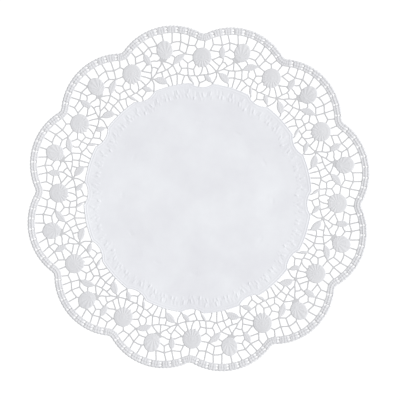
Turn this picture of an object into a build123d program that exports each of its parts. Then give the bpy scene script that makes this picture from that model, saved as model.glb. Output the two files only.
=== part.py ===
"""Round paper doily: one white sheet, die cut as lace and embossed.

The sheet lies flat on the XY plane with its underside at z = 0 and its centre on the Z axis.
Twelve equal sectors repeat around it, the first with the middle of its scallop on +Y.
It is one piece of paper, so every node below is a zone of that sheet: the zones meet edge to
edge with no gap, and the rosettes and leaves stand up from it as high as their embossing.
"""
import os
from math import atan2, cos, degrees, radians, remainder, sin, sqrt, tau

from build123d import *

# Driving dimensions, mm
SHEET_DIAMETER = 360.0  # across the tops of two opposite scallops
SECTORS = 12  # scallops round the sheet
PAPER = 0.4  # height of the plain, lightly embossed sheet
LEAF_HEIGHT = 0.8  # height of a leaf
ROSETTE_HEIGHT = 1.2  # height of a rosette's dome
BAR = 1.3  # width of a bar of the lace
BEADS = 23  # beads along one scallop, odd so that one stands at its top
NOTCH_BEADS = 2  # beads in the notch between two scallops
BEAD_BULGE = 0.6  # how far a bead stands out from the valley beside it
EDGE_WIDTH = 1.6  # width of the beaded edge
RIM_WIDTH = 7.8  # width of the whole rim, from the scallops' tops inwards
RIM_HEM = 0.9  # width of the ridge along the rim's inner side
SLOT_SHARE = 0.36  # side of a small square hole over the width of the band that holds it
PANEL_HEM = 2.2  # width of the ridge round the plain panel
FIELD_SHARE = 0.75  # radius of the plain middle over the radius of the panel
DOME_STEPS = (0.8, 0.4)  # sizes of a rosette's upper steps over its whole size

# The pattern below is drawn in mm for a sheet of this width, and scaled to the driving diameter
DRAWN_DIAMETER = 360.0
SCALE = SHEET_DIAMETER / DRAWN_DIAMETER
STEP_ANGLE = 360 / SECTORS
SLOT_BAND = RIM_WIDTH - RIM_HEM - EDGE_WIDTH  # width of the band that holds the square holes
SLOT = SLOT_BAND * SLOT_SHARE  # side of a square hole
UP = (0, 0, 1)

# Scalloped outlines: distance of the lobe's centre from the middle, its radius, the distance of
# the notch's centre and its radius, all as drawn
RIM_OUTLINE = (117.7, 62.3, 175.0, 6.2)
PANEL_OUTLINE = (0.0, 118.3, 133.7, 19.8)

# Places in the first sector, as drawn: x to the right, y outwards through the scallop's top.
# A place named with a + is the same place in the next sector clockwise.
PLACES = {
    # ends of bars under the rim
    "R1": (-40.7, 159.0), "R2": (-35.2, 163.9), "R3": (-27.9, 168.2), "R4": (-20.8, 171.4),
    "R5": (-10.3, 174.4), "R6": (1.2, 175.7), "R7": (12.8, 174.6), "R8": (21.0, 171.7),
    "R9": (30.4, 167.2), "R10": (39.2, 162.2),
    # outer rows of the net
    "J1": (-30.8, 155.0), "J2": (-21.6, 157.1), "J3": (-15.1, 161.6), "J4": (-6.0, 161.6),
    "J5": (9.6, 161.2), "J6": (18.7, 160.2), "J7": (25.1, 154.8), "J8": (32.2, 152.9),
    "J9": (-13.1, 155.2), "K1": (13.9, 161.2), "K2": (11.7, 152.4), "J18": (15.3, 151.9),
    "J17": (20.7, 146.7),
    # round the small rosette
    "L0": (0.4, 155.5), "L1": (1.2, 164.8), "L4": (8.5, 152.3), "L5": (6.2, 148.8),
    "L6": (0.9, 146.2), "L7": (-8.0, 153.3), "L8": (-6.2, 147.6),
    # round the large rosette
    "N0": (-38.1, 139.3), "N1": (-38.9, 148.4), "N2": (-32.0, 148.4), "S3": (-27.7, 139.9),
    "S7": (-28.7, 134.6), "S9": (-30.7, 130.7), "S11": (-34.4, 129.9), "T1": (-42.0, 129.4),
    "T6": (-49.0, 138.4), "T7": (-46.3, 133.5), "T8": (-45.3, 145.8),
    # stem down the left and the net beside it
    "A1": (-20.5, 152.7), "A2": (-18.5, 150.1), "A3": (-17.9, 147.0), "A4": (-16.6, 144.7),
    "A5": (-16.4, 142.6), "A6": (-16.4, 140.7), "A7": (-16.8, 138.9), "A8": (-18.0, 135.7),
    "A9": (-18.7, 132.3), "H": (-19.4, 129.4), "K3": (-14.8, 152.7), "S1": (-21.4, 144.6),
    "S2": (-25.1, 141.3), "S4": (-24.8, 138.5), "S6": (-25.3, 133.1), "S8": (-27.4, 125.9),
    "S10": (-34.1, 124.5), "K5": (-7.4, 146.6), "K6": (-9.6, 146.1), "K7": (-12.9, 147.1),
    "K8": (-13.9, 140.8),
    # vine from the stem to the branch, and the branch to the right
    "V1": (-16.3, 131.6), "V2": (-13.4, 133.8), "V3": (-9.8, 134.1), "V4": (-7.5, 134.3),
    "V5": (-5.2, 134.5), "V6": (-3.0, 135.2), "V7": (-1.0, 135.6), "V8": (2.1, 136.8),
    "J19": (5.4, 138.6), "B2": (9.9, 142.3), "B3": (13.4, 143.2), "B4": (16.2, 144.7),
    "J20": (-5.2, 144.7), "U1": (-6.8, 141.1), "U2": (-10.2, 138.2), "U3": (-12.7, 135.2),
    "U4": (-2.1, 143.8), "U5": (1.0, 142.0), "K14": (-4.0, 139.5), "X4": (8.5, 146.9),
    "X5": (9.5, 144.7),
    # net under the branch
    "K9": (17.4, 141.6), "K10": (12.2, 136.9), "J22": (13.5, 133.4), "J23": (19.6, 132.1),
    "J24": (20.9, 137.0), "J25": (25.3, 129.4), "K11": (12.9, 132.1), "K13": (6.6, 133.8),
    "K16": (-0.6, 132.8), "K17": (19.0, 126.6), "T2": (25.2, 126.0),
    # lower vine, from leaf to leaf
    "W1": (-5.4, 126.9), "W2": (-2.8, 127.9), "W3": (0.5, 128.6), "W4": (3.6, 128.5),
    "J21": (7.9, 129.1), "W5": (9.5, 128.4), "W6": (12.0, 127.0), "W7": (15.1, 125.4),
    "D0": (18.3, 124.8), "W8": (21.2, 123.6), "W9": (25.3, 122.9), "W10": (27.0, 121.9),
    "G1": (-35.1, 120.7), "G2": (-30.5, 122.8), "G3": (-26.9, 124.2), "G4": (-22.8, 126.6),
    # veins of the inner leaves
    "C1": (-15.5, 128.4), "C2": (-12.9, 127.2), "C3": (-9.7, 126.0), "C4": (-7.1, 124.0),
    "C5": (-4.5, 122.0), "C6": (-2.1, 115.7), "D1": (21.6, 117.5), "D2": (22.0, 113.1),
    "F1": (-25.8, 120.2), "F2": (-21.0, 117.7),
    # last row of the net, and ends of bars under the panel
    "J26": (28.3, 114.7), "K18": (6.5, 122.8), "K19": (11.8, 120.9), "K20": (32.0, 115.1),
    "K21": (-18.0, 125.5), "K22": (-18.0, 123.0), "X1": (-19.6, 116.6), "P1": (0.8, 114.7),
    "P2": (4.5, 114.9), "P3": (9.5, 115.0), "P4": (25.7, 109.5), "P5": (-19.8, 113.9),
    "P6": (32.0, 107.5), "P8": (-10.3, 114.5),
}

# The openings of one sector, each as the places round it, along the middles of its bars
OPENINGS = (
    "R1 R2 J1 N2 N0 N1", "R2 R3 J2 J1", "R3 R4 J3 J2", "R4 R5 J4 J3", "R5 R6 L1 L0 J4",
    "R6 R7 J5 L0 L1", "R7 R8 J6 K1 J5", "R8 R9 J7 J6", "R9 R10 J8 J7", "R10 R1+ N1+ N0+ T8+ J8",
    "J1 J2 A1 A2 N2", "J2 J3 J9 K3 A2 A1", "J3 J4 L0 L7 J9", "J9 L7 L0 L8 K5 K6 K7 A3 A2 K3",
    "N2 A2 A3 S1 S2 S3 N0", "S1 A4 A5 A6 A7 A8 S4 S3 S2", "S3 S4 A8 A9 H S6 S7 N0",
    "S7 S6 H G4 G3 S8 S9 N0", "S9 S8 G3 G2 G1 S10 S11 N0",
    "N0+ S11+ S10+ G1+ W10 W9 T2 J25 T1+", "L0 J5 K1 J6 J18 K2 L4", "J6 J7 J17 J18",
    "J7 J8 T8+ N0+ T6+ J17", "L4 K2 J18 J17 B4 B3 B2 X5 X4 L5 L0",
    "L0 L5 X4 X5 B2 J19 U5 U4 L6", "J20 U4 U5 J19 V8 V7 V6 K14", "J20 K14 V6 V5 V4 V3 V2 U3 U2 U1",
    "A3 K7 K6 K5 J20 U1 U2 K8 A6 A5 A4", "A6 K8 U2 U3 V2 V1 H A9 A8 A7",
    "H V1 V2 V3 V4 C4 C3 C2 C1", "V4 V5 V6 V7 K16 W3 W2 W1 C4", "V7 V8 J19 K13 J21 W4 W3 K16",
    "J19 B2 B3 K10 J22 K11 W5 J21 K13", "K10 B3 B4 K9 J24 J23 J22", "B4 J17 T6+ N0+ T7+ J24 K9",
    "J24 T7+ N0+ T1+ J25 J23", "J22 J23 K17 D0 W7 W6 W5 K11", "J23 J25 T2 W9 W8 D0 K17",
    "W1 W2 W3 P1 C6 C5", "W3 W4 J21 K18 P2 P1", "J21 W5 W6 W7 K19 P3 P2 K18",
    "W7 D0 D1 D2 P3 K19", "D0 W8 W9 W10 J26 P4 D2 D1", "W10 G1+ G2+ F1+ K20 J26",
    "J26 K20 F1+ F2+ X1+ P5+ P6 P4", "G3 G4 H K21 K22 X1 F2 F1", "H C1 C2 C3 C4 C5 C6 P8 P5 X1 K22 K21",
)

# Leaves of one sector, as drawn: both tips, and the middle of the bulge on each side
LEAVES = {
    "stem_leaves": ((-21.3, 156.4), (-17.6, 143.6), (-22.9, 149.7), (-16.4, 150.7)),
    "branch_leaves": ((5.8, 138.8), (20.3, 146.6), (13.6, 140.3), (10.7, 146.5)),
    "vine_leaves": ((-16.7, 128.3), (-4.0, 121.1), (-12.0, 122.8), (-8.9, 129.4)),
    "panel_leaves": ((18.6, 125.2), (21.8, 116.2), (18.5, 120.3), (21.6, 121.3)),
    "notch_leaves": ((-30.9, 122.9), (-20.8, 117.5), (-26.9, 118.0), (-25.1, 122.8)),
}

# Rosettes as drawn: the small one is an oval, the large one is round with petals to the middle
SMALL_ROSETTE = {"centre": (0.4, 155.5), "radii": (8.5, 9.7)}
LARGE_ROSETTE = {"centre": (-38.1, 139.3), "radius": 9.9}
PETAL_TIPS = ((-43.4, 130.2), (-38.2, 128.0), (-34.4, 129.6), (-30.7, 130.6))
PETAL_HALF_WIDTH = 1.2

# Pairs of holes across the rim: how far each pair is from the scallop's middle line, as drawn,
# and how deep its two holes lie in their band, as shares of its width
SLOT_PAIR_OFFSETS = (-36.7, -26.3, -16.2, -4.5, 7.0, 18.8, 28.6, 38.6)
SLOT_DEPTH_SHARES = (0.26, 0.78)


def scaled(drawn):
    """A drawn point as a point of the sheet."""
    return Vector(drawn[0] * SCALE, drawn[1] * SCALE)


def turned(point, sectors):
    """A point carried clockwise by a number of sectors."""
    angle = radians(STEP_ANGLE * sectors)
    return Vector(point.X * cos(angle) + point.Y * sin(angle),
                  point.Y * cos(angle) - point.X * sin(angle))


def place(name):
    """A named place; a + after the name moves it to the next sector."""
    point = scaled(PLACES[name.rstrip("+")])
    return turned(point, 1) if name.endswith("+") else point


def all_round(shapes):
    """Copies of one sector's shapes in every sector."""
    return [shape.rotate(Axis.Z, STEP_ANGLE * sector)
            for sector in range(SECTORS) for shape in shapes]


def lobe_frame(outline, depth):
    """Centres, radii and meeting point of a lobe and the notch on its right, depth mm inside."""
    lobe_distance, lobe_radius, notch_distance, notch_radius = (size * SCALE for size in outline)
    half = radians(STEP_ANGLE / 2)
    lobe = Vector(0, lobe_distance)
    notch = Vector(sin(half), cos(half)) * notch_distance
    inner, outer = lobe_radius - depth, notch_radius + depth
    span = (notch - lobe).length
    along = (inner ** 2 - outer ** 2 + span ** 2) / (2 * span)
    aside = sqrt(max(0.0, inner ** 2 - along ** 2))
    to_notch = (notch - lobe) / span
    meeting = lobe + to_notch * along + Vector(-to_notch.Y, to_notch.X) * aside
    return lobe, inner, notch, outer, meeting


def scalloped(outline, depth):
    """Face inside a scalloped outline, depth mm in from it."""
    lobe, inner, notch, outer, right = lobe_frame(outline, depth)
    left = Vector(-right.X, right.Y)
    bottom = notch - notch.normalized() * outer
    arcs = [ThreePointArc(left, lobe + Vector(0, inner), right),
            ThreePointArc(right, bottom, turned(left, 1))]
    return Face(Wire(all_round(arcs)))


def heading(vector):
    """Angle of a vector from +X, in radians."""
    return atan2(vector.Y, vector.X)


def bead_points(centre, start, end, count, crest_shift):
    """Valleys and crests of beads, evenly spaced on an arc from start to end about a centre."""
    first, last = (start - centre), (end - centre)
    sweep = remainder(heading(last) - heading(first), tau)
    points = []
    for index in range(2 * count + 1):
        angle = sweep * index / (2 * count)
        ray = Vector(first.X * cos(angle) - first.Y * sin(angle),
                     first.X * sin(angle) + first.Y * cos(angle))
        shift = crest_shift if index % 2 else 0
        points.append(centre + ray * ((ray.length + shift) / ray.length))
    return points


def beaded_edge():
    """Face inside the sheet's beaded outer edge, whose crests stand on the driving diameter."""
    lobe, inner, notch, outer, right = lobe_frame(RIM_OUTLINE, BEAD_BULGE)
    left = Vector(-right.X, right.Y)
    on_lobe = bead_points(lobe, left, right, BEADS, BEAD_BULGE)
    in_notch = bead_points(notch, right, turned(left, 1), NOTCH_BEADS, -BEAD_BULGE)
    points = on_lobe[:-1] + in_notch
    arcs = [ThreePointArc(points[index], points[index + 1], points[index + 2])
            for index in range(0, len(points) - 2, 2)]
    return Face(Wire(all_round(arcs)))


def moved_in(before, corner, after):
    """Where a corner of an opening comes to lie once both its sides move in by half a bar."""
    arriving, leaving = (corner - before).normalized(), (after - corner).normalized()
    inward = Vector(arriving.Y, -arriving.X) + Vector(leaving.Y, -leaving.X)
    return corner + inward * (BAR / 2) / (1 + arriving.dot(leaving))


def opening(names):
    """One opening of the lace, half a bar inside the middles of the bars round it."""
    middles = [place(name) for name in names.split()]
    after = middles[1:] + middles[:1]
    before = middles[-1:] + middles[:-1]
    corners = [moved_in(*three) for three in zip(before, middles, after)]
    return make_face(Polyline(*corners, close=True))


def leaf(tip, end, left, right):
    """Outline of one leaf, an arc down each side from tip to tip."""
    arcs = [ThreePointArc(scaled(tip), scaled(side), scaled(end)) for side in (left, right)]
    return make_face(arcs)


def small_rosette(share=1.0):
    """Oval of the rosette at a scallop's middle, or a smaller one inside it."""
    across, along = (radius * SCALE * share for radius in SMALL_ROSETTE["radii"])
    return Pos(scaled(SMALL_ROSETTE["centre"])) * Ellipse(across, along)


def large_rosette(share=1.0):
    """Circle of the rosette at a notch, or a smaller one inside it."""
    return Pos(scaled(LARGE_ROSETTE["centre"])) * Circle(LARGE_ROSETTE["radius"] * SCALE * share)


def petal(tip):
    """One petal of the large rosette, a rounded tongue from its middle to the tip."""
    end = scaled(tip)
    middle = scaled(LARGE_ROSETTE["centre"])
    ray = end - middle
    half = PETAL_HALF_WIDTH * SCALE
    return SlotCenterPoint((end + middle) * 0.5, end - ray.normalized() * half, 2 * half)


def petalled_rosette():
    """Whole outline of the large rosette."""
    return large_rosette() + [petal(tip) for tip in PETAL_TIPS]


def slots():
    """The small square holes of one scallop's rim, in pairs along its radii."""
    lobe, radius, *_ = lobe_frame(RIM_OUTLINE, 0)
    squares = []
    for offset_x in SLOT_PAIR_OFFSETS:
        sine = offset_x * SCALE / radius
        ray = Vector(sine, sqrt(1 - sine ** 2))
        for share in SLOT_DEPTH_SHARES:
            centre = lobe + ray * (radius - EDGE_WIDTH - SLOT_BAND * share)
            squares.append(Pos(centre) * Rot(0, 0, degrees(heading(ray))) * Rectangle(SLOT, SLOT))
    return squares


def raised(outline, height):
    """Solid that stands on the XY plane."""
    return extrude(outline, height, UP)


def domed(outline, steps):
    """A zone with a stepped dome: its outline at paper height and smaller outlines above."""
    rise = (ROSETTE_HEIGHT - PAPER) / len(steps)
    solid = raised(outline, PAPER)
    for index, step in enumerate(steps):
        solid += raised(step, PAPER + rise * (index + 1))
    return solid


def zones():
    """Every zone of the sheet, as name and solids."""
    edge = beaded_edge()
    rim_outer = scalloped(RIM_OUTLINE, EDGE_WIDTH)
    rim_hem = scalloped(RIM_OUTLINE, RIM_WIDTH - RIM_HEM)
    net_outer = scalloped(RIM_OUTLINE, RIM_WIDTH)
    panel = scalloped(PANEL_OUTLINE, 0)
    panel_inner = scalloped(PANEL_OUTLINE, PANEL_HEM)
    field = Circle(PANEL_OUTLINE[1] * SCALE * FIELD_SHARE)
    small = small_rosette()
    large = petalled_rosette()
    leaves = {name: leaf(*points) for name, points in LEAVES.items()}
    holes = [opening(names) for names in OPENINGS]
    cut_away = all_round([*holes, small, large, *leaves.values()])
    net = net_outer - panel - cut_away
    flat = {
        "centre_panel": field,
        "panel_border": panel_inner - field,
        "panel_hem": panel - panel_inner,
        "lace_net": net,
        "rim_hem": rim_hem - net_outer,
        "rim_band": rim_outer - rim_hem - all_round(slots()),
        "beaded_edge": edge - rim_outer,
    }
    small_domes = [domed(small, [small_rosette(share) for share in DOME_STEPS])]
    large_domes = [domed(large, [large_rosette(share) for share in DOME_STEPS])]
    solids = {name: [raised(face, PAPER)] for name, face in flat.items()}
    solids["small_rosettes"] = all_round(small_domes)
    solids["large_rosettes"] = all_round(large_domes)
    for name, outline in leaves.items():
        solids[name] = all_round([raised(outline, LEAF_HEIGHT)])
    return solids


def main():
    """Write every zone to its own STEP file."""
    os.makedirs("parts", exist_ok=True)
    for name, solids in zones().items():
        export_step(Compound(children=solids), f"parts/{name}.step")


main()
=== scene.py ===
"""Looks of a round paper doily: one embossed sheet of lace paper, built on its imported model.

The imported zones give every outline. One press plate is drawn for a single sector, and the sheet
is pressed from it twelve times round, then parted into the same zones as the model.
"""

import logging
import math
from collections.abc import Sequence
from dataclasses import dataclass, field
from enum import Enum
from typing import Any, ClassVar

import bpy
import numpy as np
from mathutils import Matrix, Vector

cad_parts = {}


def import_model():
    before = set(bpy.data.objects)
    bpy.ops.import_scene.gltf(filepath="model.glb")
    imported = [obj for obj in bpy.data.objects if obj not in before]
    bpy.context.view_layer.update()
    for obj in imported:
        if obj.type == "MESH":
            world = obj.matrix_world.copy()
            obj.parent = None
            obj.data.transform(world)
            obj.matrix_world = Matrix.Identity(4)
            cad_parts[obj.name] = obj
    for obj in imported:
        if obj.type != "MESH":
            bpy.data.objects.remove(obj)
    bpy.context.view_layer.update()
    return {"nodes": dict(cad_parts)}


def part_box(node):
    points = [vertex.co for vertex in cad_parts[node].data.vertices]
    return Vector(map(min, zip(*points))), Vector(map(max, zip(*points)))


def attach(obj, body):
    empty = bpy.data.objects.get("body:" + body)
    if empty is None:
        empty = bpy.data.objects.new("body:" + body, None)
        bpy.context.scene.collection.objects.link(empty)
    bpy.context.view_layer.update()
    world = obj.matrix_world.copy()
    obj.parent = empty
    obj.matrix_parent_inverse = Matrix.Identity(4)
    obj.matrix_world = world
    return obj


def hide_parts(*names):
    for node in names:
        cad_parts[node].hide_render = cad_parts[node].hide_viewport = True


log = logging.getLogger("doily")

MM = 0.001
SECTORS = 12
SECTOR_ANGLE = math.tau / SECTORS
PAPER_EDGE = 0.5  # share of paper at which the sheet is cut
FAINT = 0.02  # share of paper from which a soft mask is worth pressing

Array = np.ndarray
Colour = tuple[float, float, float, float]
Faces = list[tuple[Array, Array]]  # rows of point numbers, with the zone number of each row


class Zone(Enum):
    """The zones of the sheet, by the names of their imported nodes."""

    CENTRE_PANEL = "centre_panel"
    PANEL_BORDER = "panel_border"
    PANEL_HEM = "panel_hem"
    LACE_NET = "lace_net"
    RIM_HEM = "rim_hem"
    RIM_BAND = "rim_band"
    BEADED_EDGE = "beaded_edge"
    SMALL_ROSETTES = "small_rosettes"
    LARGE_ROSETTES = "large_rosettes"
    STEM_LEAVES = "stem_leaves"
    BRANCH_LEAVES = "branch_leaves"
    VINE_LEAVES = "vine_leaves"
    PANEL_LEAVES = "panel_leaves"
    NOTCH_LEAVES = "notch_leaves"


LEAF_ZONES = (Zone.STEM_LEAVES, Zone.BRANCH_LEAVES, Zone.VINE_LEAVES, Zone.PANEL_LEAVES,
              Zone.NOTCH_LEAVES)
RIM_ZONES = (Zone.RIM_HEM, Zone.RIM_BAND, Zone.BEADED_EDGE)
PANEL_ZONES = (Zone.PANEL_HEM, Zone.PANEL_BORDER, Zone.CENTRE_PANEL)


class Signal:
    """A shader value that takes part in ordinary arithmetic."""

    def __init__(self, board: "NodeBoard", socket: bpy.types.NodeSocket) -> None:
        """Wrap one output socket of a board."""
        self.board = board
        self.socket = socket

    def _math(self, operation: str, left: Any, right: Any) -> "Signal":
        """Add one Math node that joins two values."""
        return self.board.add("ShaderNodeMath", {"operation": operation}, {0: left, 1: right})

    def __add__(self, other: Any) -> "Signal":
        """Sum of this value and another."""
        return self._math("ADD", self, other)

    def __radd__(self, other: Any) -> "Signal":
        """Sum of another value and this one."""
        return self._math("ADD", other, self)

    def __sub__(self, other: Any) -> "Signal":
        """This value less another."""
        return self._math("SUBTRACT", self, other)

    def __rsub__(self, other: Any) -> "Signal":
        """Another value less this one."""
        return self._math("SUBTRACT", other, self)

    def __mul__(self, other: Any) -> "Signal":
        """Product of this value and another."""
        return self._math("MULTIPLY", self, other)

    def __rmul__(self, other: Any) -> "Signal":
        """Product of another value and this one."""
        return self._math("MULTIPLY", other, self)


class NodeBoard:
    """The node tree of one material, with one method that makes any node."""

    def __init__(self, material: bpy.types.Material) -> None:
        """Empty the material's tree and keep it.

        Args:
            material: The material to be built.
        """
        material.use_nodes = True
        self.tree = material.node_tree
        self.tree.nodes.clear()

    def add(self, kind: str, settings: dict[str, Any] | None = None,
            inputs: dict[int | str, Any] | None = None, output: int | str = 0) -> Signal:
        """Make a node, set it up and wire it.

        Args:
            kind: Blender's type name of the node.
            settings: The node's own settings, set before its sockets.
            inputs: Values or signals for its input sockets, by index or name.
            output: Which output socket to hand back.

        Returns:
            The chosen output as a signal.
        """
        node = self.tree.nodes.new(kind)
        for name, value in (settings or {}).items():
            setattr(node, name, value)
        for key, value in (inputs or {}).items():
            if isinstance(value, Signal):
                self.tree.links.new(value.socket, node.inputs[key])
            else:
                node.inputs[key].default_value = value
        return Signal(self, node.outputs[output] if node.outputs else None)


@dataclass(frozen=True)
class PaperFinish:
    """White uncoated doily paper: its colours, fibres and clouding."""

    name: str
    thin: Colour
    dense: Colour
    roughness: float = 0.86
    roughness_spread: float = 0.16
    fibre_size: float = 0.0006
    fibre_shares: tuple[float, float] = (0.6, 0.4)
    fibre_tint: float = 0.4
    fibre_detail: float = 4.0
    along_stretch: tuple[float, float, float] = (1.0, 0.25, 1.0)
    across_stretch: tuple[float, float, float] = (0.2, 1.0, 1.0)
    across_scale: float = 1.3
    detail: float = 3.0
    grain: float = 0.6
    cloud_size: float = 0.048
    cloud_contrast: float = 2.0
    cloud_level: float = 0.3
    fibre_depth: float = 0.00008
    bump_strength: float = 0.55
    specular: float = 0.28

    def _noise(self, board: NodeBoard, place: Signal, size: float, detail: float,
               stretch: tuple[float, float, float]) -> Signal:
        """Noise of one grain size, drawn out along one direction.

        Args:
            board: The material's nodes.
            place: Where the surface is.
            size: Size of a grain, in metres.
            detail: Number of finer layers.
            stretch: Scale along each axis, small where the grains are long.

        Returns:
            The noise, from 0 to 1.
        """
        drawn = board.add("ShaderNodeMapping", inputs={"Vector": place, "Scale": stretch})
        return board.add("ShaderNodeTexNoise", {"noise_dimensions": "3D"},
                         {"Vector": drawn, "Scale": 1 / size, "Detail": detail,
                          "Roughness": self.grain})

    def material(self) -> bpy.types.Material:
        """Build the material.

        Returns:
            The finished material, with clouding in its colour and fibres in its bump.
        """
        material = bpy.data.materials.new(self.name)
        board = NodeBoard(material)
        place = board.add("ShaderNodeTexCoord", output="Object")
        along = self._noise(board, place, self.fibre_size, self.fibre_detail, self.along_stretch)
        across = self._noise(board, place, self.fibre_size * self.across_scale, self.detail,
                             self.across_stretch)
        clouds = self._noise(board, place, self.cloud_size, self.detail, (1.0, 1.0, 1.0))
        fibres = along * self.fibre_shares[0] + across * self.fibre_shares[1]
        density = ((clouds - 0.5) * self.cloud_contrast + fibres * self.fibre_tint
                   + self.cloud_level)
        colour = board.add("ShaderNodeMix", {"data_type": "RGBA"},
                           {0: density, 6: self.thin, 7: self.dense}, output=2)
        rough = self.roughness + (0.5 - fibres) * self.roughness_spread
        bump = board.add("ShaderNodeBump", {},
                         {"Strength": self.bump_strength, "Distance": self.fibre_depth,
                          "Height": fibres})
        shader = board.add("ShaderNodeBsdfPrincipled", {},
                           {"Base Color": colour, "Roughness": rough, "Normal": bump,
                            "Specular IOR Level": self.specular})
        board.add("ShaderNodeOutputMaterial", {}, {"Surface": shader})
        return material


class Finish(Enum):
    """The papers the press leaves: plain; pressed, darker partly as denser paper and partly as
    painted shade of the relief; and greyer on the net, partly as pierced paper and partly as
    painted shade of its thin bars.
    """

    PLAIN = PaperFinish("plain_paper", (0.712, 0.712, 0.742, 1.0), (0.796, 0.806, 0.828, 1.0))
    # pressed paper: darker grey, partly denser pressed paper and partly painted shade of the
    # embossed relief
    PRESSED = PaperFinish("pressed_paper_painted_shade", (0.640, 0.640, 0.656, 1.0), (0.715, 0.715, 0.728, 1.0),
                          roughness=0.78, fibre_size=0.0005, bump_strength=0.45)
    # pierced paper: greyer still, partly pierced paper and partly painted shade of the net's thin
    # bars
    PIERCED = PaperFinish("pierced_paper_painted_shade", (0.535, 0.535, 0.548, 1.0), (0.610, 0.610, 0.620, 1.0),
                          roughness=0.80, fibre_size=0.0005, bump_strength=0.40)


# zones not listed here (rim, rosettes, leaves) take the pressed paper, whose darker grey is partly
# painted shade
ZONE_FINISHES = {Zone.CENTRE_PANEL: Finish.PLAIN, Zone.PANEL_BORDER: Finish.PLAIN,
                 Zone.PANEL_HEM: Finish.PLAIN, Zone.LACE_NET: Finish.PIERCED}


@dataclass
class ZoneShape:
    """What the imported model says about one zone, in millimetres."""

    zone: Zone
    points: Array
    underside: Array
    flat_depth: ClassVar[float] = 0.05  # how far above the lowest point still counts as lowest
    top_depth: ClassVar[float] = 0.02  # how far below the highest point still counts as highest
    rosette_reach: ClassVar[float] = 14.0  # more than a rosette's radius
    sector_bottom: ClassVar[float] = 90.0
    sector_side: ClassVar[float] = 56.0

    @classmethod
    def read(cls, zone: Zone, node: bpy.types.Object) -> "ZoneShape":
        """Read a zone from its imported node.

        Args:
            zone: The zone.
            node: Its packed object.

        Returns:
            The zone's points and the triangles of its flat underside.
        """
        mesh = node.data
        mesh.calc_loop_triangles()
        points = np.empty(len(mesh.vertices) * 3)
        mesh.vertices.foreach_get("co", points)
        points = points.reshape(-1, 3) / MM
        triangles = np.empty(len(mesh.loop_triangles) * 3, int)
        mesh.loop_triangles.foreach_get("vertices", triangles)
        triangles = triangles.reshape(-1, 3)
        low = (points[triangles][:, :, 2] < points[:, 2].min() + cls.flat_depth).all(axis=1)
        return cls(zone, points, triangles[low])

    def corners(self) -> Array:
        """Corners of the underside's triangles, seen from above."""
        return self.points[self.underside][:, :, :2]

    def loops(self) -> list[Array]:
        """Find the closed outlines of the underside.

        Returns:
            The outlines, each a row of points in order.
        """
        places, welded = np.unique(np.round(self.points[:, :2], 3), axis=0, return_inverse=True)
        faces = welded.reshape(-1)[self.underside]
        sides = np.concatenate([faces[:, [0, 1]], faces[:, [1, 2]], faces[:, [2, 0]]])
        sides = sides[sides[:, 0] != sides[:, 1]]
        known = {(int(a), int(b)) for a, b in sides}
        following = {a: b for a, b in known if (b, a) not in known}
        loops = []
        while following:
            start, point = next(iter(following.items()))
            row = [start]
            del following[start]
            while point != start and point in following:
                row.append(point)
                point = following.pop(point)
            loops.append(places[row])
        return loops

    def near_loops(self) -> list[Array]:
        """Pick the outlines that lie in or beside the first sector.

        Returns:
            The outlines.
        """
        return [loop for loop in self.loops()
                if loop[:, 1].mean() > self.sector_bottom
                and abs(loop[:, 0].mean()) < self.sector_side]

    def summit(self, loop: Array) -> Array:
        """Find the middle of the highest spot inside one outline.

        Args:
            loop: The outline.

        Returns:
            The middle, seen from above.
        """
        near = np.hypot(*(self.points[:, :2] - loop.mean(axis=0)).T) < self.rosette_reach
        high = self.points[:, 2] > self.points[:, 2].max() - self.top_depth
        return self.points[near & high][:, :2].mean(axis=0)


def ridge(value: Array, width: float) -> Array:
    """Height of a rounded ridge of one millimetre at value 0."""
    return np.exp(-(value / width) ** 2)


def eased(value: Array) -> Array:
    """A soft step from 0 to 1 while the value goes from 0 to 1."""
    kept = np.clip(value, 0.0, 1.0)
    return kept * kept * (3.0 - 2.0 * kept)


def spaced(loop: Array, pitch: float) -> tuple[Array, Array]:
    """Evenly spaced points along a closed outline.

    Args:
        loop: The outline's points in order.
        pitch: Distance from one point to the next.

    Returns:
        The points, and how far along the outline each lies.
    """
    closed = np.vstack([loop, loop[:1]])
    lengths = np.hypot(*np.diff(closed, axis=0).T)
    reached = np.concatenate([[0.0], np.cumsum(lengths)])
    along = np.arange(0.0, reached[-1], pitch)
    columns = [np.interp(along, reached, closed[:, axis]) for axis in (0, 1)]
    return np.stack(columns, axis=1), along


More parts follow.
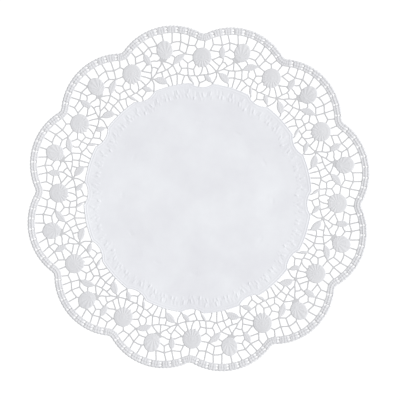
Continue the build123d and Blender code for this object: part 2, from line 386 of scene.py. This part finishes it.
@dataclass
class PressPlate:
    """The die's plate for one sector: a fine square grid that holds masks and heights, in mm."""

    left: float = -56.0
    right: float = 56.0
    bottom: float = 76.0
    top: float = 186.0
    pitch: float = 0.2
    margin: float = 6.0
    batch: int = 4000
    far_away: float = 1000.0
    last_cell: float = 1.001  # keeps a reading inside the last cell
    x: Array = field(init=False)
    y: Array = field(init=False)

    def __post_init__(self) -> None:
        """Lay out the grid."""
        columns = np.arange(self.left, self.right, self.pitch)
        rows = np.arange(self.bottom, self.top, self.pitch)
        self.x, self.y = np.meshgrid(columns, rows)

    def painted(self, triangles: Array) -> Array:
        """Fill triangles on the grid.

        Args:
            triangles: Their corners.

        Returns:
            A mask that is 1 inside them.
        """
        mask = np.zeros(self.x.shape)
        low, high = triangles.min(axis=1), triangles.max(axis=1)
        shown = ((high[:, 0] > self.left) & (low[:, 0] < self.right)
                 & (high[:, 1] > self.bottom) & (low[:, 1] < self.top))
        for corners in triangles[shown]:
            self._fill(mask, corners)
        return mask

    def _fill(self, mask: Array, corners: Array) -> None:
        """Fill one triangle on a mask.

        Args:
            mask: The mask, which is changed.
            corners: The triangle's corners.
        """
        (x0, y0), (x1, y1) = corners.min(axis=0), corners.max(axis=0)
        first_column = max(0, int((x0 - self.left) / self.pitch))
        last_column = max(0, int((x1 - self.left) / self.pitch) + 2)
        first_row = max(0, int((y0 - self.bottom) / self.pitch))
        last_row = max(0, int((y1 - self.bottom) / self.pitch) + 2)
        window = (slice(first_row, last_row), slice(first_column, last_column))
        x, y = self.x[window], self.y[window]
        (ax, ay), (bx, by), (cx, cy) = corners
        turn = (bx - ax) * (cy - ay) - (by - ay) * (cx - ax)
        if turn < 0:
            (bx, by), (cx, cy) = (cx, cy), (bx, by)
        inside = (((bx - ax) * (y - ay) - (by - ay) * (x - ax) >= 0)
                  & ((cx - bx) * (y - by) - (cy - by) * (x - bx) >= 0)
                  & ((ax - cx) * (y - cy) - (ay - cy) * (x - cx) >= 0))
        mask[window][inside] = 1.0

    def softened(self, mask: Array, spread: float) -> Array:
        """Blur a mask.

        Args:
            mask: The mask.
            spread: How far the blur spreads, in mm.

        Returns:
            The blurred mask.
        """
        reach = int(3 * spread / self.pitch) + 1
        steps = np.arange(-reach, reach + 1)
        weights = np.exp(-0.5 * (steps * self.pitch / spread) ** 2)
        weights /= weights.sum()
        rows = sum(weight * np.roll(mask, step, axis=0) for step, weight in zip(steps, weights))
        return sum(weight * np.roll(rows, step, axis=1) for step, weight in zip(steps, weights))

    def sampled(self, values: Array, x: Array, y: Array) -> Array:
        """Read a grid's values at any places, evened out between its points.

        Args:
            values: The grid's values.
            x: Places to the right, in mm.
            y: Places upwards, in mm.

        Returns:
            The values at those places.
        """
        column = np.clip((x - self.left) / self.pitch, 0, self.x.shape[1] - self.last_cell)
        row = np.clip((y - self.bottom) / self.pitch, 0, self.x.shape[0] - self.last_cell)
        c, r = column.astype(int), row.astype(int)
        u, v = column - c, row - r
        lower = values[r, c] * (1 - u) + values[r, c + 1] * u
        upper = values[r + 1, c] * (1 - u) + values[r + 1, c + 1] * u
        return lower * (1 - v) + upper * v

    def nearest(self, chosen: Array, points: Array) -> tuple[Array, Array]:
        """Distance from chosen grid places to the nearest of some points.

        Args:
            chosen: Mask of the places.
            points: The points.

        Returns:
            The distances, and the index of each place's nearest point, over the whole grid.
        """
        indices = np.flatnonzero((abs(points[:, 0]) < self.right + self.margin)
                                 & (points[:, 1] > self.bottom - self.margin))
        near = points[indices]
        distance = np.full(self.x.shape, self.far_away)
        index = np.zeros(self.x.shape, int)
        rows, columns = np.nonzero(chosen)
        for part in np.array_split(np.arange(len(rows)), max(1, len(rows) // self.batch)):
            r, c = rows[part], columns[part]
            gaps = np.hypot(self.x[r, c, None] - near[:, 0], self.y[r, c, None] - near[:, 1])
            best = gaps.argmin(axis=1)
            distance[r, c] = gaps[np.arange(len(part)), best]
            index[r, c] = indices[best]
        return distance, index


@dataclass
class RimPress:
    """Relief of the rim: a crowned band with three ridges, ticks between them and beads."""

    crown: float = 0.38
    crown_power: float = 0.7
    outline_pitch: float = 0.4
    ridge_height: float = 0.46
    ridge_width: float = 0.62
    ridge_places: tuple[float, ...] = (0.5, 3.35, 6.3)
    tick_pitch: float = 2.6
    tick_height: float = 0.34
    tick_span: tuple[float, float] = (0.9, 6.2)
    tick_fade: float = 0.5
    bead_height: float = 0.36
    bead_size: float = 1.05
    bead_depth: float = 0.95

    def relief(self, plate: PressPlate, shapes: dict[Zone, ZoneShape], soft: Array) -> Array:
        """Heights of the rim over the plate.

        Args:
            plate: The press plate.
            shapes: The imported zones.
            soft: Soft mask of the whole rim.

        Returns:
            Heights in mm.
        """
        inner = min(shapes[Zone.RIM_HEM].loops(), key=lambda loop: np.hypot(*loop.T).min())
        points, along = spaced(inner, self.outline_pitch)
        across, index = plate.nearest(soft > FAINT, points)
        outer = max(shapes[Zone.BEADED_EDGE].loops(), key=lambda loop: np.hypot(*loop.T).max())
        width = self._width(outer, points)
        arch = np.sin(np.pi * np.clip(across / width, 0.0, 1.0))
        shape = self.crown * arch ** self.crown_power
        for place in self.ridge_places:
            shape += self.ridge_height * ridge(across - place, self.ridge_width)
        wave = 0.5 + 0.5 * np.cos(math.tau * along[index] / self.tick_pitch)
        first, last = self.tick_span
        between = eased((across - first) / self.tick_fade) * eased((last - across) / self.tick_fade)
        shape += self.tick_height * wave * between
        return (shape + self._beads(plate, outer, points)) * soft

    @staticmethod
    def _gaps(places: Array, points: Array) -> Array:
        """Distance from each place to the nearest point."""
        return np.array([np.hypot(*(points - place).T).min() for place in places])

    def _width(self, outer: Array, points: Array) -> float:
        """Width of the rim from its inner side to the beads' crests."""
        return float(self._gaps(outer[::7], points).max())

    def _beads(self, plate: PressPlate, outer: Array, points: Array) -> Array:
        """Raise the beads, one at each crest of the outer edge.

        Args:
            plate: The press plate.
            outer: Outline of the outer edge.
            points: Points along the rim's inner side.

        Returns:
            The beads' heights in mm.
        """
        near = outer[(abs(outer[:, 0]) < plate.right + 4) & (outer[:, 1] > plate.bottom)]
        near = near[np.argsort(np.arctan2(near[:, 0], near[:, 1]))]
        gaps = self._gaps(near, points)
        crest = (gaps[1:-1] >= gaps[:-2]) & (gaps[1:-1] > gaps[2:]) & (gaps[1:-1] > gaps.mean())
        domes = np.zeros(plate.x.shape)
        for x, y in near[1:-1][crest]:
            nearest = points[np.hypot(points[:, 0] - x, points[:, 1] - y).argmin()]
            inward = (nearest - (x, y)) / np.hypot(*(nearest - (x, y)))
            cx, cy = (x, y) + inward * self.bead_depth
            dome = ridge(np.hypot(plate.x - cx, plate.y - cy), self.bead_size)
            domes = np.maximum(domes, self.bead_height * dome)
        return domes


@dataclass
class PanelPress:
    """Relief of the panel: two fine ridges along its outline and a garland of short strokes."""

    # distance from the outline, and height
    hem_ridges: tuple[tuple[float, float], ...] = ((0.6, 0.42), (2.9, 0.20))
    hem_width: float = 0.55
    outline_pitch: float = 0.5
    stroke_height: float = 0.58
    stroke_width: float = 0.70
    stroke_end: float = 0.6
    stroke_lean: float = 0.35
    stroke_strengths: tuple[float, float] = (-0.5, 1.0)
    stroke_lengths: tuple[float, float] = (0.75, 1.2)
    strokes_per_sector: int = 15
    # distance from the outline, length of the strokes, and shift sideways in strokes
    rows: tuple[tuple[float, float, float], ...] = ((12.6, 2.4, 0.0), (8.2, 3.4, 0.5))
    seed: int = 11

    def relief(self, plate: PressPlate, shapes: dict[Zone, ZoneShape], soft: Array) -> Array:
        """Heights of the panel over the plate.

        Args:
            plate: The press plate.
            shapes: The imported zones.
            soft: Soft mask of the panel's hem and border.

        Returns:
            Heights in mm.
        """
        outline = max(shapes[Zone.PANEL_HEM].loops(), key=lambda loop: np.hypot(*loop.T).max())
        points, _ = spaced(outline, self.outline_pitch)
        inward, _ = plate.nearest(soft > FAINT, points)
        shape = np.zeros(plate.x.shape)
        for place, height in self.hem_ridges:
            shape += height * ridge(inward - place, self.hem_width)
        return (shape + self._garland(plate, inward)) * soft

    def _garland(self, plate: PressPlate, inward: Array) -> Array:
        """Press short strokes pointing to the middle, in rows that follow the outline.

        Args:
            plate: The press plate.
            inward: Distance of each place from the panel's outline, in mm.

        Returns:
            The strokes' heights in mm.
        """
        random = np.random.default_rng(self.seed)
        angle = np.arctan2(plate.x, plate.y)
        radius = np.hypot(plate.x, plate.y)
        pitch = SECTOR_ANGLE / self.strokes_per_sector
        garland = np.zeros(plate.x.shape)
        for depth, length, shift in self.rows:
            count = self.strokes_per_sector
            leans = random.uniform(-self.stroke_lean, self.stroke_lean, count)
            strengths = random.uniform(*self.stroke_strengths, count)
            lengths = random.uniform(*self.stroke_lengths, count) * length
            step = angle / pitch + shift
            number = np.floor(step).astype(int)
            which = number % self.strokes_per_sector
            aside = (step - number - 0.5) * pitch * radius
            down = inward - depth
            aside = aside + leans[which] * down
            end = np.maximum(0.0, abs(down) - lengths[which] / 2)
            stroke = ridge(aside, self.stroke_width) * ridge(end, self.stroke_end)
            garland += self.stroke_height * strengths[which] * stroke
        return garland


@dataclass
class RosettePress:
    """Relief of one kind of rosette: a dome with ribs that fan out from a heart."""

    dome: float
    ribs: int
    rib_height: float
    heart_shift: float
    inward_only: bool
    rings: tuple[float, ...]
    ring_height: float = 0.10
    ring_width: float = 0.045
    flatness: float = 0.82
    rib_start: float = 0.22
    rib_fade: float = 0.25
    rib_top: float = 0.35
    rib_top_fade: float = 0.7
    button_height: float = 0.22
    button_width: float = 0.16
    reach: float = 1.22
    reach_fade: float = 0.08

    def relief(self, plate: PressPlate, shape: ZoneShape) -> Array:
        """Heights of every rosette of this kind over the plate.

        Args:
            plate: The press plate.
            shape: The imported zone.

        Returns:
            Heights in mm.
        """
        heights = np.zeros(plate.x.shape)
        for loop in shape.near_loops():
            centre = shape.summit(loop)
            gaps = loop - centre
            outward = centre / np.hypot(*centre)
            beyond = gaps[gaps @ outward > 0]
            size = np.hypot(*beyond.T).mean()
            heights = np.maximum(heights, self._one(plate, centre, outward, size))
        return heights

    def _one(self, plate: PressPlate, centre: Array, outward: Array, size: float) -> Array:
        """Press one rosette.

        Args:
            plate: The press plate.
            centre: Its middle.
            outward: Direction from the sheet's middle to it.
            size: Its mean radius.

        Returns:
            Heights in mm.
        """
        x, y = plate.x - centre[0], plate.y - centre[1]
        up = x * outward[0] + y * outward[1]
        side = x * outward[1] - y * outward[0]
        far = np.hypot(side, up) / size
        dome = self.dome * np.sqrt(np.clip(1.0 - self.flatness * far ** 2, 0.0, 1.0))
        heart = up + self.heart_shift * size
        turn = np.arctan2(side, -heart if self.inward_only else heart)
        reach = np.hypot(side, heart) / size
        ribs = self.rib_height * np.cos(self.ribs * turn)
        ribs = ribs * eased((reach - self.rib_start) / self.rib_fade)
        if self.inward_only:
            ribs = ribs * eased((self.rib_top - up / size) / self.rib_top_fade)
        for place in self.rings:
            dome = dome + self.ring_height * ridge(far - place, self.ring_width)
        button = self.button_height * ridge(reach, self.button_width)
        shown = eased((self.reach - far) / self.reach_fade)
        return (dome + ribs + button) * shown


@dataclass
class LeafPress:
    """Relief of a leaf: a soft body, a sharp middle vein and slanting side veins."""

    body: float = 0.26
    vein: float = 0.26
    vein_width: float = 0.48
    side_veins: int = 6
    side_height: float = 0.14
    side_slant: float = 0.35
    side_start: float = 0.4
    side_fade: float = 0.6
    tip_margin: float = 0.05

    def relief(self, plate: PressPlate, shape: ZoneShape, soft: Array) -> Array:
        """Heights of every leaf of one kind over the plate.

        Args:
            plate: The press plate.
            shape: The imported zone.
            soft: Soft mask of that zone.

        Returns:
            Heights in mm.
        """
        heights = np.zeros(plate.x.shape)
        for loop in shape.near_loops():
            spans = np.hypot(loop[:, None, 0] - loop[None, :, 0],
                             loop[:, None, 1] - loop[None, :, 1])
            first, last = np.unravel_index(spans.argmax(), spans.shape)
            heights = np.maximum(heights, self._one(plate, loop[first], loop[last]))
        return heights * soft

    def _one(self, plate: PressPlate, tip: Array, end: Array) -> Array:
        """Press one leaf between its two tips.

        Args:
            plate: The press plate.
            tip: One tip.
            end: The other tip.

        Returns:
            Heights in mm.
        """
        span = np.hypot(*(end - tip))
        axis = (end - tip) / span
        along = ((plate.x - tip[0]) * axis[0] + (plate.y - tip[1]) * axis[1]) / span
        aside = (plate.x - tip[0]) * axis[1] - (plate.y - tip[1]) * axis[0]
        within = ((along > -self.tip_margin) & (along < 1.0 + self.tip_margin)
                  & (abs(aside) < span / 2))
        slant = along * self.side_veins - abs(aside) * self.side_slant
        veins = self.side_height * (0.5 + 0.5 * np.cos(math.tau * slant))
        veins = veins * eased((abs(aside) - self.side_start) / self.side_fade)
        middle = self.vein * ridge(aside, self.vein_width)
        return np.where(within, self.body + veins + middle, 0.0)


@dataclass
class Relief:
    """Everything pressed into one sector: the soft outline, the zones and the heights."""

    shapes: dict[Zone, ZoneShape]
    plate: PressPlate = field(default_factory=PressPlate)
    edge_spread: float = 0.34
    zone_spread: float = 0.30
    lift: float = 0.04
    body: float = 0.36
    rounding: float = 0.42
    outline: Array = field(init=False)
    masks: dict[Zone, Array] = field(init=False)
    height: Array = field(init=False)

    def __post_init__(self) -> None:
        """Draw the masks and press the heights."""
        sharp = {zone: self.plate.painted(shape.corners()) for zone, shape in self.shapes.items()}
        whole = np.clip(sum(sharp.values()), 0.0, 1.0)
        self.outline = self.plate.softened(whole, self.edge_spread)
        self.masks = {zone: self.plate.softened(mask, self.zone_spread)
                      for zone, mask in sharp.items()}
        self.height = self._pressed()

    def _pressed(self) -> Array:
        """Add up the relief of every zone on the rounded body of the paper.

        Returns:
            Heights in mm.
        """
        slope = np.clip((self.outline - PAPER_EDGE) / self.rounding, 0.0, 1.0)
        rounded = np.sin(slope * math.pi / 2)
        rim = sum(self.masks[zone] for zone in RIM_ZONES)
        panel = sum(self.masks[zone] for zone in PANEL_ZONES)
        extra = RimPress().relief(self.plate, self.shapes, rim)
        extra = extra + PanelPress().relief(self.plate, self.shapes, panel)
        for zone, press in ROSETTES.items():
            raised = press.relief(self.plate, self.shapes[zone])
            extra = extra + raised * self.masks[zone]
        for zone in LEAF_ZONES:
            extra = extra + LeafPress().relief(self.plate, self.shapes[zone], self.masks[zone])
        return self.lift + rounded * (self.body + extra)


ROSETTES = {
    Zone.SMALL_ROSETTES: RosettePress(dome=0.70, ribs=14, rib_height=0.12, heart_shift=0.55,
                                      inward_only=False, rings=(0.55,)),
    Zone.LARGE_ROSETTES: RosettePress(dome=0.80, ribs=16, rib_height=0.15, heart_shift=0.0,
                                      inward_only=True, rings=(0.34, 0.70)),
}


@dataclass
class PolarMesh:
    """Points and faces of the whole sheet, laid out on rings."""

    angle: Array
    radius: Array
    faces: Faces

    def folded(self) -> tuple[Array, Array]:
        """Every point carried back into the first sector."""
        turned = (self.angle + SECTOR_ANGLE / 2) % SECTOR_ANGLE - SECTOR_ANGLE / 2
        return self.radius * np.sin(turned), self.radius * np.cos(turned)

    def flat(self) -> tuple[Array, Array]:
        """Every point where it lies on the sheet."""
        return self.radius * np.sin(self.angle), self.radius * np.cos(self.angle)


@dataclass
class SheetCutter:
    """Cuts the sheet from the plate: a fine pierced ring and coarser rings to the middle."""

    relief: Relief
    field_radius: float
    outer_radius: float
    cells: int = 192
    ring_step: float = 0.42
    start: float = 112.0
    least_share: ClassVar[float] = 0.08  # keeps a cut off the corners of its cell
    # from and to which radius, the step between rings, and the points on each
    inner_rings: tuple[tuple[float, float, float, int], ...] = (
        (2.0, 8.0, 3.0, 36), (8.0, 20.0, 4.0, 72), (20.0, 44.0, 3.0, 144),
        (44.0, 78.0, 2.0, 288), (78.0, 84.0, 1.2, 576), (84.0, 111.6, 0.6, 1152))

    def cut(self) -> PolarMesh:
        """Make the whole sheet.

        Returns:
            Its points and labelled faces.
        """
        around = self.cells * SECTORS
        radii = np.arange(self.start, self.outer_radius + 2 * self.ring_step, self.ring_step)
        step = SECTOR_ANGLE / self.cells
        angles = -SECTOR_ANGLE / 2 + step * np.arange(self.cells)
        plate = self.relief.plate
        spread = np.meshgrid(angles, radii, indexing="ij")
        value = plate.sampled(self.relief.outline, spread[1] * np.sin(spread[0]),
                              spread[1] * np.cos(spread[0]))
        middle = np.meshgrid(angles + step / 2, radii[:-1] + self.ring_step / 2, indexing="ij")
        labels = self._labels(middle[1] * np.sin(middle[0]), middle[1] * np.cos(middle[0]))
        value = np.tile(value, (SECTORS, 1))
        labels = np.tile(labels, (SECTORS, 1))
        inside = value > PAPER_EDGE
        every_angle = -SECTOR_ANGLE / 2 + step * np.arange(around)
        angle_parts, radius_parts = [], []

        def number(chosen: Array, angle: Array, radius: Array) -> Array:
            """Give the chosen places their numbers and keep where they lie.

            Args:
                chosen: Mask of the places.
                angle: Their angles.
                radius: Their distances from the middle.

            Returns:
                The number of each chosen place, and -1 elsewhere.
            """
            start = sum(len(part) for part in angle_parts)
            ids = np.full(chosen.shape, -1)
            ids[chosen] = start + np.arange(chosen.sum())
            angle_parts.append(angle[chosen])
            radius_parts.append(radius[chosen])
            return ids

        angle_grid, radius_grid = np.meshgrid(every_angle, radii, indexing="ij")
        corner = number(inside, angle_grid, radius_grid)
        beside, beyond = np.roll(value, -1, axis=0), value[:, 1:]
        share = self._crossing(value, beside)
        around_edge = number(inside != (beside > PAPER_EDGE), angle_grid + share * step,
                             radius_grid)
        share = self._crossing(value[:, :-1], beyond)
        out_edge = number(inside[:, :-1] != (beyond > PAPER_EDGE), angle_grid[:, :-1],
                          radius_grid[:, :-1] + share * self.ring_step)
        faces = self._cells(inside, corner, around_edge, out_edge, labels)
        faces += self._inner(corner[:, 0], angle_parts, radius_parts)
        return PolarMesh(np.concatenate(angle_parts), np.concatenate(radius_parts), faces)

    @classmethod
    def _crossing(cls, here: Array, there: Array) -> Array:
        """Find how far along the way from here to there the paper ends.

        Args:
            here: Share of paper at the near ends.
            there: Share of paper at the far ends.

        Returns:
            Shares of the way.
        """
        gap = there - here
        share = (PAPER_EDGE - here) / np.where(abs(gap) < 1e-9, 1.0, gap)
        return np.clip(share, cls.least_share, 1.0 - cls.least_share)

    def _labels(self, x: Array, y: Array) -> Array:
        """Find the zone that holds most of each place.

        Args:
            x: Places to the right, in mm.
            y: Places upwards, in mm.

        Returns:
            The zones' numbers.
        """
        plate = self.relief.plate
        strengths = [plate.sampled(self.relief.masks[zone], x, y) for zone in Zone]
        return np.argmax(strengths, axis=0)

    @staticmethod
    def _cells(inside: Array, corner: Array, around_edge: Array, out_edge: Array,
               labels: Array) -> Faces:
        """Make the faces of the cells that hold paper, wholly or in part.

        Args:
            inside: Which corners lie on paper.
            corner: Numbers of those corners.
            around_edge: Numbers of the cuts between corners on one ring.
            out_edge: Numbers of the cuts between corners on one spoke.
            labels: Zone number of each cell.

        Returns:
            The faces.
        """
        near, far = slice(None, -1), slice(1, None)

        def beside(grid: Array) -> Array:
            """The same grid one step further round."""
            return np.roll(grid, -1, axis=0)

        corners = (corner[:, near], beside(corner)[:, near], beside(corner)[:, far],
                   corner[:, far])
        edges = (around_edge[:, near], beside(out_edge), around_edge[:, far], out_edge)
        held = (inside[:, near], beside(inside)[:, near], beside(inside)[:, far],
                inside[:, far])
        code = sum(flag.astype(int) << bit for bit, flag in enumerate(held))
        faces = []
        for pattern in range(1, 16):
            cells = code == pattern
            columns = []
            for bit in range(4):
                here, following = pattern >> bit & 1, pattern >> (bit + 1) % 4 & 1
                if here:
                    columns.append(corners[bit][cells])
                if here != following:
                    columns.append(edges[bit][cells])
            faces.append((np.stack(columns, axis=1), labels[cells]))
        return faces

    def _inner(self, outer: Array, angle_parts: list[Array], radius_parts: list[Array]) -> Faces:
        """Make the faces inside the pierced ring, with fewer points on each ring inwards.

        Args:
            outer: Numbers of the pierced ring's innermost points.
            angle_parts: Angles of all points so far, to which more are added.
            radius_parts: Their distances from the middle, likewise.

        Returns:
            The faces.
        """
        zones = list(Zone)
        rings = [(radius, count) for low, high, step, count in self.inner_rings
                 for radius in np.arange(low, high - 1e-6, step)]
        start = sum(len(part) for part in angle_parts)
        numbered = []
        for radius, count in rings:
            angle_parts.append(-SECTOR_ANGLE / 2 + math.tau * np.arange(count) / count)
            radius_parts.append(np.full(count, radius))
            numbered.append((radius, start + np.arange(count)))
            start += count
        numbered.append((self.start, outer))
        faces = [(numbered[0][1][None, ::-1], np.array([zones.index(Zone.CENTRE_PANEL)]))]
        for (low, inner), (high, wider) in zip(numbered, numbered[1:]):
            times = len(wider) // len(inner)
            outside = [np.roll(wider, -shift)[::times] for shift in range(times, -1, -1)]
            quads = np.stack([inner, np.roll(inner, -1), *outside], axis=1)
            zone = Zone.CENTRE_PANEL if (low + high) / 2 < self.field_radius else Zone.PANEL_BORDER
            faces.append((quads, np.full(len(quads), zones.index(zone))))
        return faces


@dataclass
class PaperSheet:
    """The whole doily: cut, pressed, slightly cockled, and parted into its zones."""

    relief: Relief
    cockle: float = 0.55
    # slopes to the right and upwards, phase, and share of the cockle
    waves: tuple[tuple[float, float, float, float], ...] = (
        (0.031, 0.012, 0.4, 0.5), (-0.014, 0.036, 1.9, 0.35), (0.052, -0.041, 3.1, 0.15))

    def build(self, materials: dict[Finish, bpy.types.Material]) -> None:
        """Make every zone's piece.

        Args:
            materials: The finished papers.
        """
        low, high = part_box(Zone.CENTRE_PANEL.value)
        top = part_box(Zone.BEADED_EDGE.value)[1]
        cutter = SheetCutter(self.relief, (high.x - low.x) / 2 / MM, top.y / MM)
        mesh = cutter.cut()
        x, y = mesh.flat()
        height = self._height(mesh, x, y)
        points = np.stack([x, y, height], axis=1) * MM
        normals = self._normals(points, mesh.faces)
        pieces = {}
        for number, zone in enumerate(Zone):
            chosen = [faces[labels == number] for faces, labels in mesh.faces]
            piece = self._piece(zone, points, normals, [part for part in chosen if len(part)])
            piece.data.materials.append(materials[ZONE_FINISHES.get(zone, Finish.PRESSED)])
            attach(piece, "root")
            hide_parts(zone.value)
            pieces[zone] = piece
            log.info("%s: %d faces", piece.name, len(piece.data.polygons))
        middle = pieces.pop(Zone.CENTRE_PANEL)

    def _height(self, mesh: PolarMesh, x: Array, y: Array) -> Array:
        """Raise all points by the press and by the sheet's gentle cockle.

        Args:
            mesh: The cut sheet.
            x: Where its points lie to the right, in mm.
            y: Where they lie upwards, in mm.

        Returns:
            Heights in mm.
        """
        folded = mesh.folded()
        pressed = self.relief.plate.sampled(self.relief.height, *folded)
        pressed[mesh.radius < self.relief.plate.bottom + 1] = self.relief.lift + self.relief.body
        swell = sum(share * (1 + np.sin(along * x + across * y + phase)) / 2
                    for along, across, phase, share in self.waves)
        return pressed + self.cockle * swell

    @staticmethod
    def _normals(points: Array, faces: Faces) -> Array:
        """Work out the whole sheet's normals, so that its zones meet without a seam.

        Args:
            points: All points.
            faces: All faces.

        Returns:
            A normal of length 1 at each point.
        """
        total = np.zeros(points.shape)
        for rows, _ in faces:
            corners = points[rows]
            turned = np.cross(corners, np.roll(corners, -1, axis=1)).sum(axis=1)
            for column in rows.T:
                for axis in range(3):
                    total[:, axis] += np.bincount(column, turned[:, axis], len(points))
        return total / np.maximum(np.linalg.norm(total, axis=1, keepdims=True), 1e-12)

    @staticmethod
    def _piece(zone: Zone, points: Array, normals: Array,
               faces: list[Array]) -> bpy.types.Object:
        """One zone's piece.

        Args:
            zone: The zone.
            points: All the sheet's points, in metres.
            normals: All the sheet's normals.
            faces: The zone's faces, in groups of one size each.

        Returns:
            The new object.
        """
        used = np.unique(np.concatenate([part.reshape(-1) for part in faces]))
        rows = [row for part in faces for row in np.searchsorted(used, part).tolist()]
        mesh = bpy.data.meshes.new(f"paper_{zone.value}")
        mesh.from_pydata(points[used].tolist(), [], rows)
        mesh.polygons.foreach_set("use_smooth", np.ones(len(rows), bool))
        mesh.normals_split_custom_set_from_vertices(normals[used].tolist())
        piece = bpy.data.objects.new(f"paper_{zone.value}", mesh)
        bpy.context.scene.collection.objects.link(piece)
        return piece


@dataclass
class Studio:
    """A white floor, soft light that rakes from the right, and the camera high above."""

    floor_size: float = 60.0
    roll: float = math.radians(12.6)
    tilt_right: float = math.radians(8.3)
    distance: float = 2.6
    view_width: float = 0.4095
    aim_right: float = 0.0029
    aim_down: float = 0.0019
    sun_strength: float = 2.5
    sun_softness: float = 24.0
    sun_right: float = 1.0
    sun_up: float = 0.1
    sun_height: float = 0.85
    sky_strength: float = 0.58
    sky_colour: Colour = (0.97, 0.98, 1.0, 1.0)
    floor_colour: Colour = (0.35, 0.35, 0.35, 1.0)
    floor_roughness: float = 0.9
    floor_specular: float = 0.1
    floor_glow: float = 0.70

    def axes(self) -> tuple[Vector, Vector]:
        """Directions on the sheet that lie to the right and upwards in the view."""
        right = Vector((math.cos(self.roll), -math.sin(self.roll), 0.0))
        return right, Vector((math.sin(self.roll), math.cos(self.roll), 0.0))

    def build(self) -> None:
        """Set up the floor, the lights and the camera."""
        self._floor()
        self._sky()
        right, up = self.axes()
        towards = self.sun_right * right + self.sun_up * up + Vector((0, 0, self.sun_height))
        self._sun("key_light", towards, self.sun_strength, self.sun_softness)
        self._camera(right, up)

    def _floor(self) -> None:
        """Lay the white floor."""
        half = self.floor_size / 2
        mesh = bpy.data.meshes.new("floor")
        mesh.from_pydata([(-half, -half, 0), (half, -half, 0), (half, half, 0), (-half, half, 0)],
                         [], [(0, 1, 2, 3)])
        floor = bpy.data.objects.new("floor", mesh)
        bpy.context.scene.collection.objects.link(floor)
        material = bpy.data.materials.new("floor_white")
        board = NodeBoard(material)
        shader = board.add("ShaderNodeBsdfPrincipled", {},
                           {"Base Color": self.floor_colour,
                            "Roughness": self.floor_roughness,
                            "Specular IOR Level": self.floor_specular,
                            "Emission Color": (1.0, 1.0, 1.0, 1.0),
                            "Emission Strength": self.floor_glow})
        board.add("ShaderNodeOutputMaterial", {}, {"Surface": shader})
        mesh.materials.append(material)

    def _sky(self) -> None:
        """Light the scene evenly from all round."""
        world = bpy.data.worlds.new("soft_sky")
        world.use_nodes = True
        background = world.node_tree.nodes["Background"]
        background.inputs["Color"].default_value = self.sky_colour
        background.inputs["Strength"].default_value = self.sky_strength
        bpy.context.scene.world = world

    @staticmethod
    def _sun(name: str, towards: Vector, strength: float, softness: float) -> None:
        """Add a soft sun.

        Args:
            name: Its name.
            towards: Direction from the sheet to the light.
            strength: Its strength.
            softness: Width of the light as seen from the sheet, in degrees.
        """
        light = bpy.data.lights.new(name, "SUN")
        light.energy = strength
        light.angle = math.radians(softness)
        lamp = bpy.data.objects.new(name, light)
        lamp.rotation_euler = towards.to_track_quat("Z", "Y").to_euler()
        bpy.context.scene.collection.objects.link(lamp)

    def _camera(self, right: Vector, up: Vector) -> None:
        """Put the camera above the sheet, turned as the sheet lies in the view.

        Args:
            right: Direction on the sheet that lies to the right.
            up: Direction on the sheet that lies upwards.
        """
        aim = right * self.aim_right - up * self.aim_down
        away = (Vector((0, 0, 1)) + right * math.tan(self.tilt_right)).normalized()
        across = up.cross(away).normalized()
        upright = away.cross(across)
        camera_data = bpy.data.cameras.new("camera")
        camera_data.lens = camera_data.sensor_width * self.distance / self.view_width
        camera = bpy.data.objects.new("camera", camera_data)
        turn = Matrix((across, upright, away)).transposed().to_4x4()
        camera.matrix_world = Matrix.Translation(aim + away * self.distance) @ turn
        bpy.context.scene.collection.objects.link(camera)
        bpy.context.scene.camera = camera


def main() -> None:
    """Build the doily and its studio, and note the sizes."""
    logging.basicConfig(level=logging.INFO)
    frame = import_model()
    shapes = {zone: ZoneShape.read(zone, frame["nodes"][zone.value]) for zone in Zone}
    materials = {finish: finish.value.material() for finish in Finish}
    PaperSheet(Relief(shapes)).build(materials)
    Studio().build()
    bpy.context.scene.view_settings.view_transform = "Standard"


if __name__ == "__main__":
    main()
